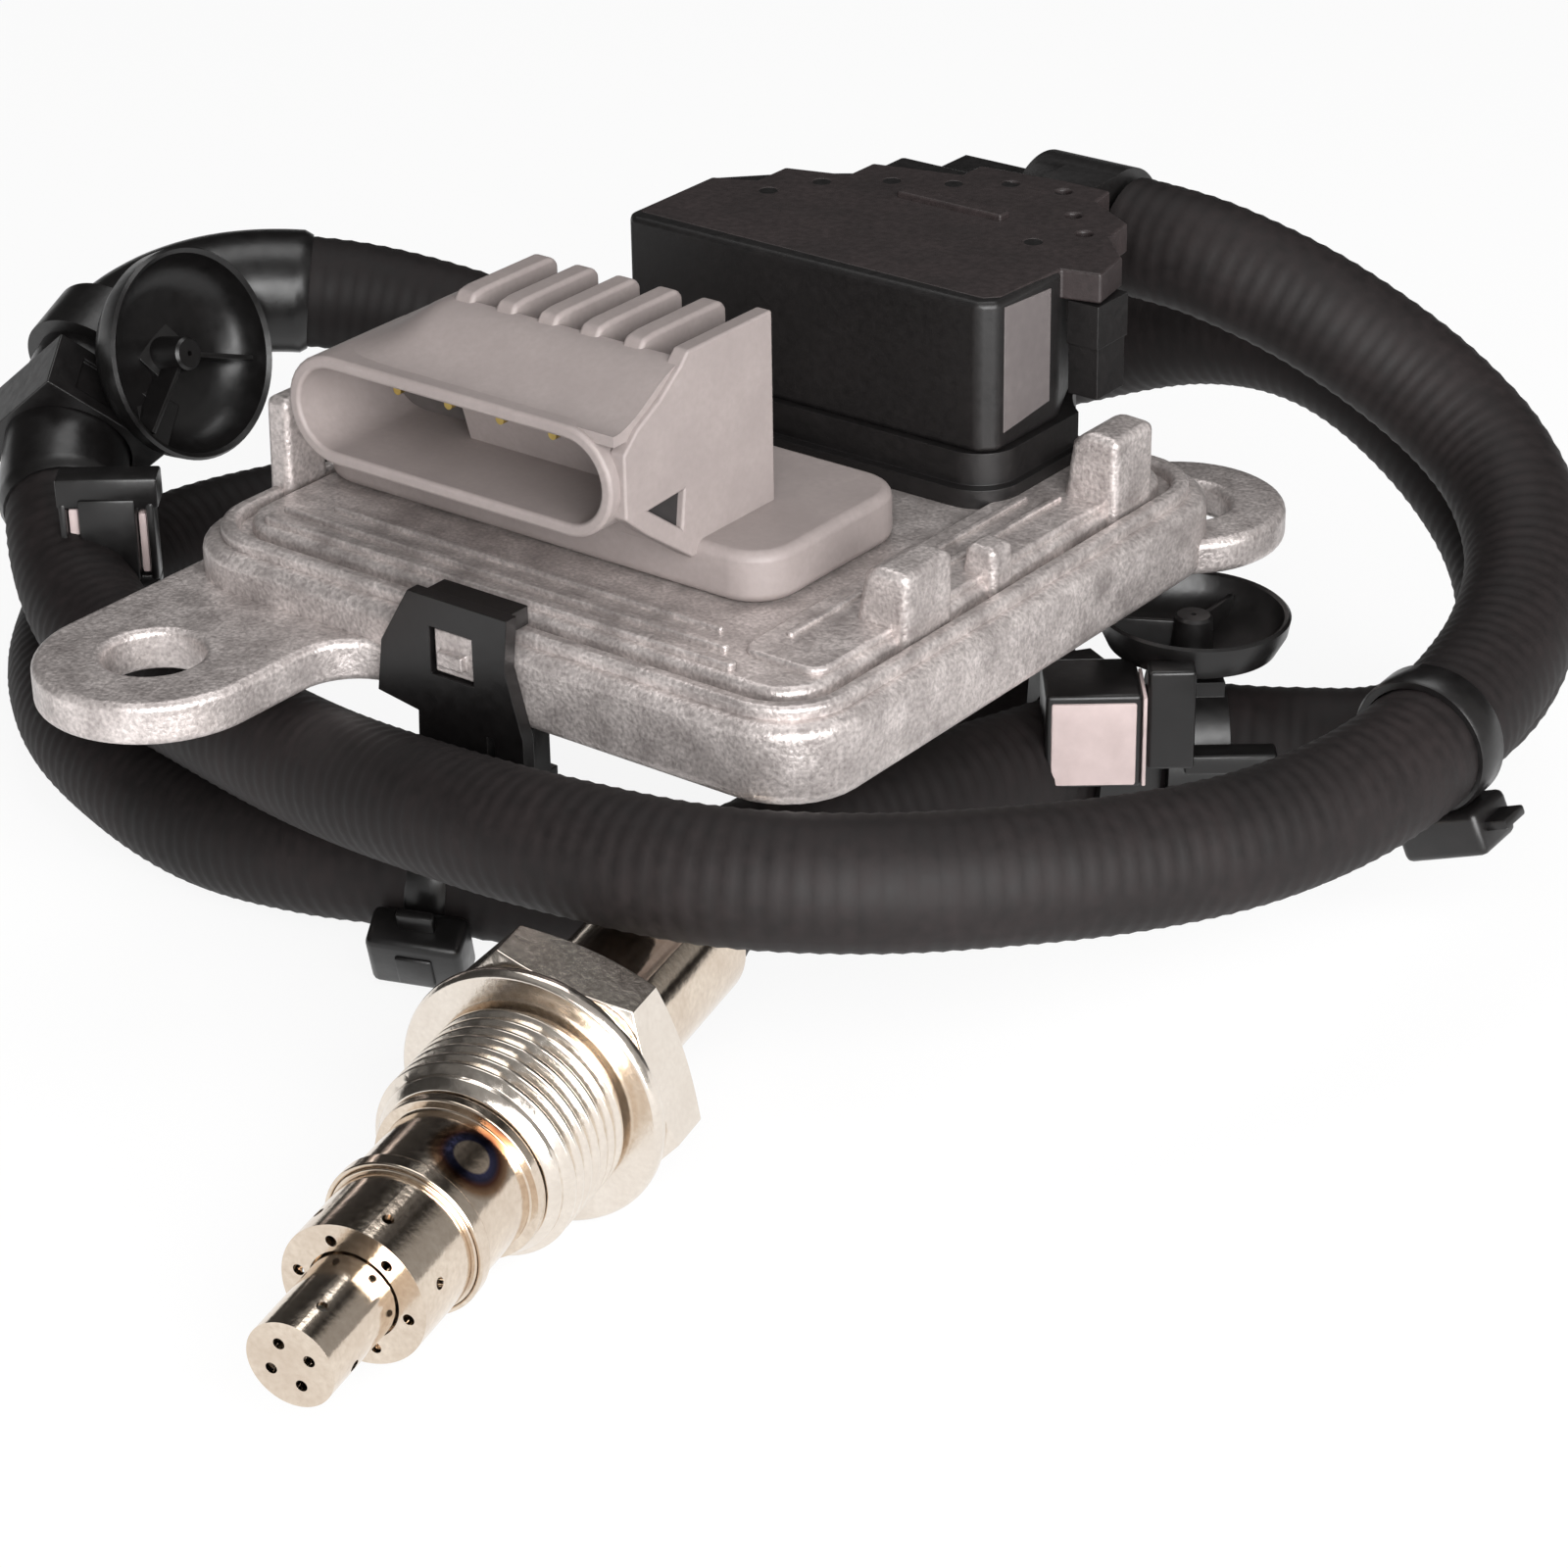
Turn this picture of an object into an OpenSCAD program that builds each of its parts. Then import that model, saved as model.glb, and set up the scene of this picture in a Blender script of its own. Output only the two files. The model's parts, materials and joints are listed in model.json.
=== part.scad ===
// Nitrogen oxide sensor: a screw-in probe on a conduit that runs from an
// electronics housing with a male header and a plugged cable connector.
// Front of the housing is -Y, the header's mouth faces -Y, Z is up.

/* [Housing] */
// height of the casting's underside above the floor
housing_base_z = 30; // [29:0.5:31]
// height of the casting's wall and top plate
housing_height = 10; // [9:0.5:11]
// corner radius of the casting
housing_corner_r = 8.5; // [7:0.5:9]
// thickness of the casting's walls around the electronics
housing_wall = 5; // [4:0.5:6]
// thickness of the front mounting ear
front_ear_t = 4.5; // [4:0.5:5]
// thickness of the rear mounting ear
rear_ear_t = 4; // [3:0.5:4]
// radius of the front ear
front_ear_r = 12; // [11:0.5:12.5]
// radius of the rear ear
rear_ear_r = 11; // [10:0.5:11.5]
// radius of both bolt holes
bolt_hole_r = 5; // [4:0.25:5.5]
// thickness of the cover plate under the casting
plate_t = 1.2; // [0.8:0.1:1.5]

/* [Header] */
// thickness of the header's flange
flange_t = 5.5; // [5:0.25:6]
// height of the header's mouth
mouth_h = 11.5; // [11:0.25:12]
// wall thickness of the header's mouth
mouth_wall = 1.3; // [1:0.1:1.6]
// depth of the header's cavity
mouth_depth = 14; // [12:0.5:16]
// thickness of the ribs on the header's top
rib_t = 1.8; // [1.4:0.1:2.2]
// radius of one contact pin
pin_r = 0.5; // [0.4:0.05:0.6]

/* [Cable connector] */
// height of the connector's lower skirt
skirt_h = 5.5; // [5:0.25:6]
// height of the connector's body above its skirt
body_h = 13; // [12:0.25:13.5]
// thickness of the connector's cover
cover_t = 3.2; // [2.8:0.1:3.6]
// outer radius of the cable outlet
outlet_r = 7.2; // [7:0.1:7.5]

/* [Conduit] */
// outer radius of the ribbed conduit
conduit_r = 6.5; // [6.2:0.1:6.5]
// clearance between the conduit and the collars on it
collar_gap = 0.6; // [0.5:0.05:0.8]
// wall thickness of a clip's collar
collar_wall = 1.8; // [1.4:0.1:2]
// length of a clip's collar along the conduit
collar_length = 6.4; // [5:0.2:6.6]
// length of a clip's square block along the conduit
holder_length = 7.2; // [6:0.2:7.4]
// radius of a clip's umbrella disc
umbrella_r = 10; // [9:0.5:10]
// clearance between the conduit and a cable tie's strap
tie_gap = 0.6; // [0.5:0.05:0.8]
// width of a cable tie's strap
tie_width = 4.8; // [4:0.2:5.2]
// thickness of a cable tie's strap
tie_t = 1.2; // [1:0.1:1.4]

/* [Probe] */
// distance across the flats of the hexagon
hex_af = 24; // [22:0.5:24]
// length of the hexagon along the probe
hex_length = 6.5; // [6:0.25:7]
// outer radius of the fitting's thread
thread_r = 10; // [9.5:0.1:10]
// pitch of the fitting's thread
thread_pitch = 1.5; // [1.25:0.25:1.5]
// distance from the hexagon's face to the thread's end
fitting_length = 14; // [13:0.25:14.5]
// wall of the fitting from its bore to the crests of its thread
fitting_wall = 2.65; // [2.5:0.05:2.8]
// running clearance between the fitting and the sensor body
spin_gap = 0.05; // [0.02:0.01:0.08]
// length of the sensor body beyond the thread
body_reach = 11; // [10:0.5:12]
// step from the sensor body down to the outer protection tube
tube_step = 0.3; // [0.2:0.05:0.4]
// length of the outer protection tube
outer_tube_length = 8.2; // [7.4:0.2:9]
// outer radius of the inner protection tube
inner_tube_r = 4.2; // [4:0.1:4.4]
// length of the inner protection tube
inner_tube_length = 18.5; // [17.5:0.25:19.5]
// wall thickness of both protection tubes
tube_wall = 0.5; // [0.4:0.05:0.6]
// radius of a gas hole
gas_hole_r = 0.55; // [0.4:0.05:0.7]
// length of the sleeve behind the hexagon
sleeve_length = 20.5; // [19:0.5:20.5]

/* [Fits] */
// clearance between pieces that are seated in each other
seat_gap = 0.2; // [0.1:0.05:0.3]

/* [Hidden] */
$fn = 64;
origin_shift = [-1.03, 0, 0];
top_z = housing_base_z + housing_height;
front_ear = [-30, -28.5];
rear_ear = [31.5, 62];
house_x0 = -42;
house_x1 = 39;
house_y0 = -14;
house_y1 = 61;
board_t = 1.6;
board_z = top_z - 4.5 - board_t;
cavity_top = top_z - 2.5;
flange_top = top_z + flange_t;
mouth_y = -8;
mouth_z0 = flange_top + 3.2;
mouth_z1 = mouth_z0 + mouth_h;
mouth_x0 = -29.3;
mouth_x1 = 12;
rib_top = mouth_z1 + 5.2;
skirt_top = top_z + skirt_h;
body_top = skirt_top + body_h;
cover_top = body_top + cover_t;
outlet_y = 79.2;
outlet_z = body_top - 4;
outlet_face = 12.6;
clip_y = house_y0 - seat_gap;
hex_centre = [30.4, -43, 13.3];
probe_heading = -78.15;
probe_tilt = 92.9;
hex_turn = 16.1;
body_r = thread_r - fitting_wall - spin_gap;
body_end = fitting_length + body_reach;
body_back = -hex_length - 1;
sleeve_end = body_back - sleeve_length;
outer_tube_r = body_r - tube_step;
tube_bore = outer_tube_r - tube_wall;
bush_r = body_r - 2.15;
bush_length = 12;
collar_inner = conduit_r + collar_gap;
collar_outer = collar_inner + collar_wall;
holder_side = 2 * collar_inner + 1.8;
tie_inner = conduit_r + tie_gap;

// where the clips and ties sit: a length of the conduit and a shift along it
left_collar_at = [27, 0];
left_holder_at = [26, 0];
left_stud_way = [0.79, 0.02, 0.61];
right_collar_at = [71, -1.2];
right_holder_at = [72, 0.9];
right_stud_way = [0, 0, 1];
tie_right_at = [9, -2.5];
tie_right_way = [0.37, -0.15, -0.9];
tie_left_at = [44, 0];
tie_left_way = [0.3, -0.7, -0.42];

// route of the conduit from the connector to the probe
route = [
    [13.3, 79.2, 54.5],
    [24, 79.7, 53.6],
    [36, 82, 49.5],
    [48, 84, 43],
    [58, 82, 37],
    [66, 74, 32],
    [71, 61, 28.5],
    [73, 46, 26.5],
    [73, 31, 25.8],
    [70, 17, 25.8],
    [65, 5, 26.6],
    [58, -7, 28],
    [48.5, -18, 29],
    [36, -25, 29],
    [20, -27, 28],
    [3, -24.8, 25.5],
    [-16, -20.5, 22.5],
    [-36, -15.5, 21],
    [-54, -10, 20],
    [-68, -3, 21.5],
    [-79, 6, 26],
    [-86.5, 16.5, 32],
    [-88.5, 28, 37],
    [-84, 39, 39],
    [-74, 48.5, 38],
    [-60, 57, 34],
    [-44, 65, 27.5],
    [-27, 72, 20],
    [-9, 73.5, 12.5],
    [7, 67, 7.5],
    [17, 54, 6.6],
    [18.5, 38, 6.6],
    [16, 22, 6.6],
    [11, 8, 6.8],
    [3, -4.5, 8],
    [-9, -13.5, 10.6],
    [-23, -16, 9],
    [-38, -15, 6.9],
    [-53, -11.5, 6.6],
    [-68, -5, 6.6],
    [-81, 6, 6.6],
    [-90, 20, 6.6],
    [-92, 36, 6.6],
    [-85, 54, 6.6],
    [-70, 70, 8.5],
    [-50, 83, 14],
    [-28, 92, 22],
    [-6, 97, 31],
    [12, 98, 37.5],
    [27, 98, 38],
    [40.5, 97, 32.5],
    [53.2, 91.5, 25.5],
    [61.3, 82, 19.6],
    [62.9, 70.5, 15.6],
    [58.4, 61, 13.4],
    [49.2, 55.4, 12.6],
    [40, 50.2, 12.6],
    [33.6, 42, 13.2],
    [31, 30.5, 14.4],
    [28.8, 18.5, 15.7],
    [25.5, 6.8, 16.4],
    [22.8, -4.6, 15.8],
    [24.56, -15.14, 14.74]
];
route_last = len(route) - 1;
rings = 80;
ring_sides = 10;

// point of the conduit's centre line at route position u
function at_point(i) = route[max(0, min(route_last, i))];
function spline(a, b, c, d, t) =
    0.5 * (2 * b + (c - a) * t + (2 * a - 5 * b + 4 * c - d) * t * t
        + (3 * b - a - 3 * c + d) * t * t * t);
function route_at(u) =
    let (i = min(route_last - 1, floor(u)))
    spline(at_point(i - 1), at_point(i), at_point(i + 1), at_point(i + 2), u - i);
function unit(v) = v / norm(v);
function heading_at(u) =
    unit(route_at(min(route_last, u + 0.02)) - route_at(max(0, u - 0.02)));
// side direction of a ring, kept level so that the tube doesn't twist
function side_at(d) = unit(cross([0, 0, 1], d));
function ring_point(u, k) =
    let (d = heading_at(u), s = side_at(d), n = cross(d, s), a = 360 * k / ring_sides)
    route_at(u) + conduit_r * 1.015 * (s * cos(a) + n * sin(a));

module placed() {
    translate(origin_shift) children();
}

module on_probe() {
    placed() translate(hex_centre) rotate([0, probe_tilt, probe_heading]) children();
}

module rounded_plate(x0, x1, y0, y1, r, h) {
    linear_extrude(h) rounded_outline(x0, x1, y0, y1, r);
}

module rounded_outline(x0, x1, y0, y1, r) {
    translate([x0 + r, y0]) square([x1 - x0 - 2 * r, y1 - y0]);
    translate([x0, y0 + r]) square([x1 - x0, y1 - y0 - 2 * r]);
    for (x = [x0 + r, x1 - r], y = [y0 + r, y1 - r]) translate([x, y]) circle(r);
}

// a plate of an XZ outline between two Y values
module upright(y0, y1) {
    translate([0, y1, 0]) rotate([90, 0, 0]) linear_extrude(y1 - y0) children();
}

// a plate of a YZ outline between two X values
module sidewise(x0, x1) {
    translate([x0, 0, 0]) rotate([90, 0, 90]) linear_extrude(x1 - x0) children();
}

module housing_casting() {
    color([0.62, 0.58, 0.57]) placed() difference() {
        union() {
            translate([0, 0, housing_base_z])
                rounded_plate(house_x0, house_x1, house_y0, house_y1, housing_corner_r, housing_height - 2);
            translate([0, 0, top_z - 2.01])
                rounded_plate(house_x0 + 1.2, house_x1 - 1.2, house_y0 + 1.2, house_y1 - 1.2, housing_corner_r - 1.2, 2.01);
            front_ear_pad();
            translate([rear_ear[0], rear_ear[1], housing_base_z]) cylinder(r = rear_ear_r, h = rear_ear_t);
            edge_tabs();
            top_ridges();
        }
        translate([rear_ear[0] + 1.5, rear_ear[1] + 1, housing_base_z + rear_ear_t]) cylinder(r = 13, h = 30);
        for (e = [front_ear, rear_ear]) translate([e[0], e[1], housing_base_z - 1]) cylinder(r = bolt_hole_r, h = 30);
        electronics_cavity();
    }
}

// the front ear continues the casting's left side and flares into its front
module front_ear_pad() {
    translate([0, 0, housing_base_z]) linear_extrude(front_ear_t) difference() {
        union() {
            translate(front_ear) circle(front_ear_r);
            translate([house_x0, front_ear[1]]) square([2 * front_ear_r, house_y0 + 10 - front_ear[1]]);
            translate([front_ear[0], -20.5]) square([18, 10]);
        }
        translate([front_ear[0] + front_ear_r + 6, house_y0 - 6]) circle(6);
    }
}

module electronics_cavity() {
    translate([0, 0, housing_base_z - 1])
        rounded_plate(house_x0 + 3, house_x1 - 3, house_y0 + 3, 47, 5, 1 + plate_t);
    difference() {
        translate([0, 0, housing_base_z])
            rounded_plate(house_x0 + housing_wall, house_x1 - housing_wall, house_y0 + housing_wall, 45, 4, cavity_top - housing_base_z);
        for (p = board_posts()) translate([p[0], p[1], board_z + board_t]) cylinder(r = 2.2, h = 10, $fn = 32);
    }
}

function board_posts() = [[-32, -4], [29, -4], [-32, 40], [29, 40]];

module edge_tabs() {
    edge = house_x1 - 1.2;
    translate([edge - 3.6, 4.2, top_z - 1]) cube([3.6, 9.6, 9]);
    upright(8, 10) polygon([
        [edge - 9.6, top_z - 1], [edge - 3, top_z - 1], [edge - 3, top_z + 7], [edge - 4.2, top_z + 7]
    ]);
    translate([edge - 3.8, 22, top_z - 1]) cube([3.8, 3.6, 5]);
    translate([edge - 3.4, 43.2, top_z - 1]) cube([3.4, 7, 9]);
    upright(45.6, 47.6) polygon([
        [edge - 8.6, top_z - 1], [edge - 3, top_z - 1], [edge - 3, top_z + 7], [edge - 4, top_z + 7]
    ]);
    translate([house_x0 + 1.2, -0.2, top_z - 1]) cube([3, 6.1, 10.5]);
    translate([house_x0 + 1.2, 40, top_z - 1]) cube([3, 8, 8]);
}

module top_ridges() {
    translate([-32, -10.8, top_z - 0.5]) cube([62, 1.4, 1.1]);
    translate([-34, -7.2, top_z - 0.5]) cube([60, 1, 0.9]);
    translate([-34, -3.8, top_z - 0.5]) cube([58, 1, 0.9]);
    translate([house_x1 - 10.6, -6, top_z - 0.5]) cube([1.2, 48, 1]);
}

module base_plate() {
    color([0.55, 0.52, 0.5]) placed() translate([0, 0, housing_base_z])
        rounded_plate(house_x0 + 3 + seat_gap, house_x1 - 3 - seat_gap, house_y0 + 3 + seat_gap, 47 - seat_gap, 5 - seat_gap, plate_t);
}

module circuit_board() {
    color([0.05, 0.3, 0.15]) placed() translate([0, 0, board_z])
        rounded_plate(house_x0 + housing_wall + 0.5, house_x1 - housing_wall - 0.5, house_y0 + housing_wall + 0.5, 44.5, 3, board_t);
}

module board_parts() {
    color([0.08, 0.08, 0.09]) placed() {
        translate([-12, 8, board_z - 1.2]) cube([12, 12, 1.2]);
        translate([8, 4, board_z - 1]) cube([6, 5, 1]);
        translate([12, 26, board_z - 1.4]) cube([8, 6, 1.4]);
        for (x = [-28, -22]) translate([x, 30, board_z - 2.2]) cylinder(r = 2, h = 2.2, $fn = 32);
    }
}

// stadium outline of the mouth, in XZ
module mouth_outline(inset) {
    r = mouth_h / 2 - inset;
    zc = mouth_z0 + mouth_h / 2;
    for (x = [mouth_x0 + mouth_h / 2, mouth_x1 - mouth_h / 2]) translate([x, zc]) circle(r);
    translate([mouth_x0 + mouth_h / 2, zc - r]) square([mouth_x1 - mouth_x0 - mouth_h, 2 * r]);
}

module header_shroud() {
    color([0.66, 0.63, 0.62]) placed() difference() {
        union() {
            translate([0, 0, top_z + 0.01]) rounded_plate(-38, 21, 3.8, 28, 5, flange_t - 0.01);
            upright(mouth_y, 14.8) mouth_outline(0);
            sidewise(-15, mouth_x1) polygon([
                [mouth_y + 1.5, mouth_z1 - 6],
                [mouth_y + 1.5, mouth_z1],
                [2.5, rib_top - 3],
                [2.5, rib_top],
                [14.8, rib_top],
                [14.8, flange_top + 7.9],
                [11, flange_top + 7.9],
                [6, flange_top + 1.5],
                [6, flange_top - 1],
                [3.8, flange_top - 1],
                [mouth_y + 4, mouth_z0 + 0.5]
            ]);
            sidewise(-28, -14) polygon([
                [mouth_y + 4, mouth_z0 + 0.5],
                [14.8, mouth_z1 - 6],
                [14.8, flange_top - 1],
                [3.8, flange_top - 1]
            ]);
            translate([mouth_x1 - 1, 4.2, flange_top - 1]) cube([1.6, 1.6, 9]);
        }
        for (x = [-12.2, -7.2, -2.2, 2.8, 7.8])
            translate([x, 2, rib_top - 5.2]) cube([5 - rib_t, 20, 10]);
        upright(mouth_y - 1, mouth_y + mouth_depth) mouth_outline(mouth_wall);
        sidewise(mouth_x1 - 2, mouth_x1 + 1) polygon([
            [-3.3, mouth_z0 + 2.4], [2.2, mouth_z0 + 2.6], [1.7, mouth_z0 - 1.3]
        ]);
        sidewise(mouth_x0 - 1, mouth_x0 + 2.2) polygon([
            [-3.3, mouth_z0 + 2.4], [2.2, mouth_z0 + 2.6], [1.7, mouth_z0 - 1.3]
        ]);
        for (x = pin_places()) pin_shape(x, seat_gap / 4);
    }
}

function pin_places() = [-22, -15.3, -8.6, -1.9, 4.8];

module pin_shape(x, gap) {
    translate([x, mouth_y + mouth_depth + 3, mouth_z0 + mouth_h / 2]) rotate([90, 0, 0])
        cylinder(r = pin_r + gap, h = 9, $fn = 24);
}

module header_pins() {
    color([0.75, 0.68, 0.45]) placed() for (x = pin_places()) pin_shape(x, 0);
}

module connector_skirt() {
    color([0.1, 0.09, 0.09]) placed() difference() {
        union() {
            translate([0, 0, top_z + 0.01]) rounded_plate(-23.8, 25.5, 35.4, 59, 5, 2);
            translate([0, 0, top_z + 2]) rounded_plate(-23.2, 24.6, 36.6, 58.5, 4.5, skirt_h - 2);
        }
        translate([rear_ear[0] + 1.5, rear_ear[1] + 1, top_z - 1]) cylinder(r = 13.4, h = 20);
    }
}

module connector_body() {
    color([0.09, 0.08, 0.08]) placed() {
        translate([0, 0, skirt_top]) linear_extrude(body_h) polygon([
            [-23, 38.4], [-21.8, 37.2], [22.4, 37.2], [24, 38.6],
            [24, 49.6], [20.5, 57], [14, 60], [13.4, 69.5],
            [-10, 69.5], [-10, 63], [-17, 58], [-23, 52]
        ]);
    }
}

module connector_cover() {
    color([0.2, 0.17, 0.17]) placed() difference() {
        translate([0, 0, body_top]) linear_extrude(cover_t) polygon([
            [-23, 38.4], [-23, 52], [-18, 54], [-18, 59], [-11, 61], [-11, 65.5], [-1, 68],
            [-1, 71.5], [9, 72.6], [15, 72.6], [15.5, 69], [22, 65.2], [22.4, 61],
            [27, 56.4], [28, 51], [24, 50], [24, 38.6], [22.4, 37.2], [-21.8, 37.2]
        ]);
        for (p = cover_dimples()) translate([p[0], p[1], cover_top - 1]) cylinder(r = 1.1, h = 5, $fn = 24);
        translate([-3, 57.8, cover_top - 0.8]) cube([14.2, 2.4, 5]);
    }
}

function cover_dimples() = [[-15, 52], [-12, 57.5], [-6, 62], [0, 65], [5, 68.5], [11, 69.6], [16, 64], [20, 60], [17, 55]];

// a latch block on the connector's right side, in two steps
module connector_side_block() {
    color([0.13, 0.12, 0.12]) placed() {
        translate([24 + seat_gap, 51, body_top - 10.5]) cube([3.6, 5, 5.6]);
        translate([24 + seat_gap, 50.6, body_top - 4.9]) cube([3.8, 5.6, 4.9 - seat_gap]);
    }
}

// the elbow behind the connector, with a round seat that the conduit leaves
module cable_outlet() {
    color([0.1, 0.09, 0.09]) placed() difference() {
        union() {
            translate([2, outlet_y, outlet_z]) rotate([0, 90, 0]) cylinder(r = outlet_r, h = outlet_face - 2);
            translate([-10, 69.5 + seat_gap, skirt_top + 1]) cube([18, 12, body_h - 1 - seat_gap]);
            translate([6, 72.6 + seat_gap, outlet_z - 4]) cube([outlet_face - 6, outlet_y - 72.6 - seat_gap, outlet_r + 3.8]);
        }
        translate([outlet_face - 2.4, outlet_y, outlet_z]) rotate([0, 90, 0]) cylinder(r = 3.5, h = 5);
    }
}

module locking_bar() {
    color([0.24, 0.21, 0.21]) placed() translate([-2.6, 58.1, cover_top - 0.8]) cube([13.4, 1.8, 1.5]);
}

module retaining_clip() {
    color([0.08, 0.07, 0.07]) placed() difference() {
        union() {
            upright(clip_y - 1.6, clip_y) polygon([
                [-7.6, 42.4], [5, 42.4], [4.4, 37], [6.4, 30], [6.4, 22.6],
                [-7.3, 22.6], [-7, 29.6], [-12.2, 30.4], [-11.4, 36.1]
            ]);
            translate([-6.6, clip_y - 1.6, top_z + seat_gap]) cube([10.6, 4.4, 2]);
            translate([-6, clip_y - 1, 22.6]) cube([11, 6, 1.8]);
            translate([-6, clip_y - 1, 22.6]) cube([1.6, 5, 7.2]);
            translate([3.4, clip_y - 1, 22.6]) cube([1.6, 5, 7.2]);
        }
        translate([-5, clip_y - 3, 34.2]) cube([5.4, 6, 5]);
        translate([1.8, clip_y - 3, 24.8]) cube([0.9, 6, 4.4]);
    }
}

module clip_catch() {
    color([0.7, 0.68, 0.66]) placed() {
        translate([-4.7, clip_y - 1.2, 34.4]) cube([4.8, 1.1, 4.6]);
        translate([-3.9, clip_y - 2, 35.4]) cube([3.2, 1, 1.6]);
    }
}

// the conduit, which takes the most skill: one tube of rings along the route
module conduit() {
    points = concat(
        [for (i = [0 : rings - 1], k = [0 : ring_sides - 1]) ring_point(route_last * i / (rings - 1), k)],
        [route[0], route[route_last]]
    );
    first_cap = rings * ring_sides;
    last_ring = (rings - 1) * ring_sides;
    faces = concat(
        [for (i = [0 : rings - 2], k = [0 : ring_sides - 1])
            [i * ring_sides + k, i * ring_sides + (k + 1) % ring_sides, (i + 1) * ring_sides + (k + 1) % ring_sides]],
        [for (i = [0 : rings - 2], k = [0 : ring_sides - 1])
            [i * ring_sides + k, (i + 1) * ring_sides + (k + 1) % ring_sides, (i + 1) * ring_sides + k]],
        [for (k = [0 : ring_sides - 1]) [first_cap, (k + 1) % ring_sides, k]],
        [for (k = [0 : ring_sides - 1]) [first_cap + 1, last_ring + k, last_ring + (k + 1) % ring_sides]]
    );
    color([0.18, 0.16, 0.16]) placed() polyhedron(points, faces, convexity = 10);
}

// places its children at o with their Z along z and their X near x
module framed(o, x, z) {
    zz = unit(z);
    yy = unit(cross(zz, x));
    xx = cross(yy, zz);
    multmatrix([
        [xx[0], yy[0], zz[0], o[0]],
        [xx[1], yy[1], zz[1], o[1]],
        [xx[2], yy[2], zz[2], o[2]]
    ]) children();
}

function ring_u(i) = route_last * i / (rings - 1);

// places its children on the straight length i of the conduit, moved along it
module on_conduit(at, way) {
    a = route_at(ring_u(at[0]));
    b = route_at(ring_u(at[0] + 1));
    placed() framed((a + b) / 2 + at[1] * unit(b - a), way, b - a) children();
}

// a strap tight around the conduit, with its head at +X
module cable_tie() {
    head_x = tie_inner + tie_t + 1.3;
    difference() {
        union() {
            cylinder(r = tie_inner + tie_t, h = tie_width, center = true);
            translate([head_x, 0, 0]) cube([4.2, 6, 10], center = true);
        }
        cylinder(r = tie_inner, h = tie_width + 8, center = true);
        translate([head_x + 0.6, 0, 0]) cube([1.4, 8, tie_width], center = true);
    }
}

module tie_right() {
    color([0.08, 0.07, 0.07]) on_conduit(tie_right_at, tie_right_way) cable_tie();
}

module tie_left() {
    color([0.08, 0.07, 0.07]) on_conduit(tie_left_at, tie_left_way) cable_tie();
}

// split collar that holds the conduit, with a flat pad for the stud at +X
module clip_collar() {
    difference() {
        union() {
            cylinder(r = collar_outer, h = collar_length, center = true);
            translate([collar_outer - 1.2, 0, 0]) cube([3.2, 9, collar_length - 0.6], center = true);
            translate([0, collar_outer - 0.4, 0]) cube([7, 2.8, collar_length - 1.4], center = true);
        }
        cylinder(r = collar_inner, h = collar_length + 2, center = true);
        translate([-collar_outer, 0, 0]) cube([6, 1.2, collar_length + 2], center = true);
    }
}

// push-in stud: a ribbed post with an umbrella disc at its head
module clip_stud() {
    stud_x = collar_outer + 0.4 + seat_gap;
    translate([stud_x, 0, 0]) rotate([0, 90, 0]) {
        rotate_extrude() polygon([
            [0, 0], [3.4, 0], [3.4, 1], [2.3, 1.4], [2.3, 2.6], [umbrella_r, 4.1],
            [umbrella_r, 4.7], [umbrella_r - 1.2, 5.4], [4, 6], [0, 6.2]
        ]);
    }
}

// square block around the conduit, with a flat face on each side
module clip_holder() {
    difference() {
        cube([holder_side, holder_side, holder_length], center = true);
        cylinder(r = collar_inner, h = 12, center = true);
        for (k = [-1, 1]) translate([k * (collar_inner + 0.4 + 1.5), 0, 0]) cube([3, 9, holder_length - 3], center = true);
    }
}

module left_collar() {
    color([0.09, 0.08, 0.08]) on_conduit(left_collar_at, left_stud_way) clip_collar();
}

module left_stud() {
    color([0.09, 0.08, 0.08]) on_conduit(left_collar_at, left_stud_way) clip_stud();
}

module left_holder() {
    color([0.09, 0.08, 0.08]) on_conduit(left_holder_at, left_stud_way) clip_holder();
}

module right_collar() {
    color([0.09, 0.08, 0.08]) on_conduit(right_collar_at, right_stud_way) clip_collar();
}

module right_stud() {
    color([0.09, 0.08, 0.08]) on_conduit(right_collar_at, right_stud_way) clip_stud();
}

module right_holder() {
    color([0.09, 0.08, 0.08]) on_conduit(right_holder_at, right_stud_way) clip_holder();
}

// half outline of the thread, from the hexagon's face to the tip end
function thread_turns() = floor((fitting_length - 3.2) / thread_pitch);
function thread_points() = [
    for (i = [0 : thread_turns() - 1], p = [[0, 0.1], [0, 0.35], [-0.85, 0.68], [-0.85, 0.82]])
        [thread_r + p[0], 2.6 + thread_pitch * (i + p[1])]
];

module screw_fitting() {
    color([0.72, 0.66, 0.58]) on_probe() difference() {
        union() {
            intersection() {
                translate([0, 0, -hex_length]) rotate([0, 0, hex_turn]) cylinder(r = hex_af / sqrt(3), h = hex_length, $fn = 6);
                rotate_extrude() polygon([
                    [0, -hex_length], [hex_af / 2 - 0.2, -hex_length], [hex_af / 2 + 2, -hex_length + 1.1],
                    [hex_af / 2 + 2, -1], [hex_af / 2 - 0.2, 0], [0, 0]
                ]);
            }
            rotate_extrude() polygon(concat(
                [[0, -0.5], [thread_r - 1, -0.5], [thread_r - 1, 2.6]],
                thread_points(),
                [[thread_r - 0.85, fitting_length - 0.9], [thread_r - 1.6, fitting_length], [0, fitting_length]]
            ));
        }
        translate([0, 0, -hex_length - 1]) cylinder(r = body_r + spin_gap, h = hex_length + fitting_length + 2);
    }
}

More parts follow.
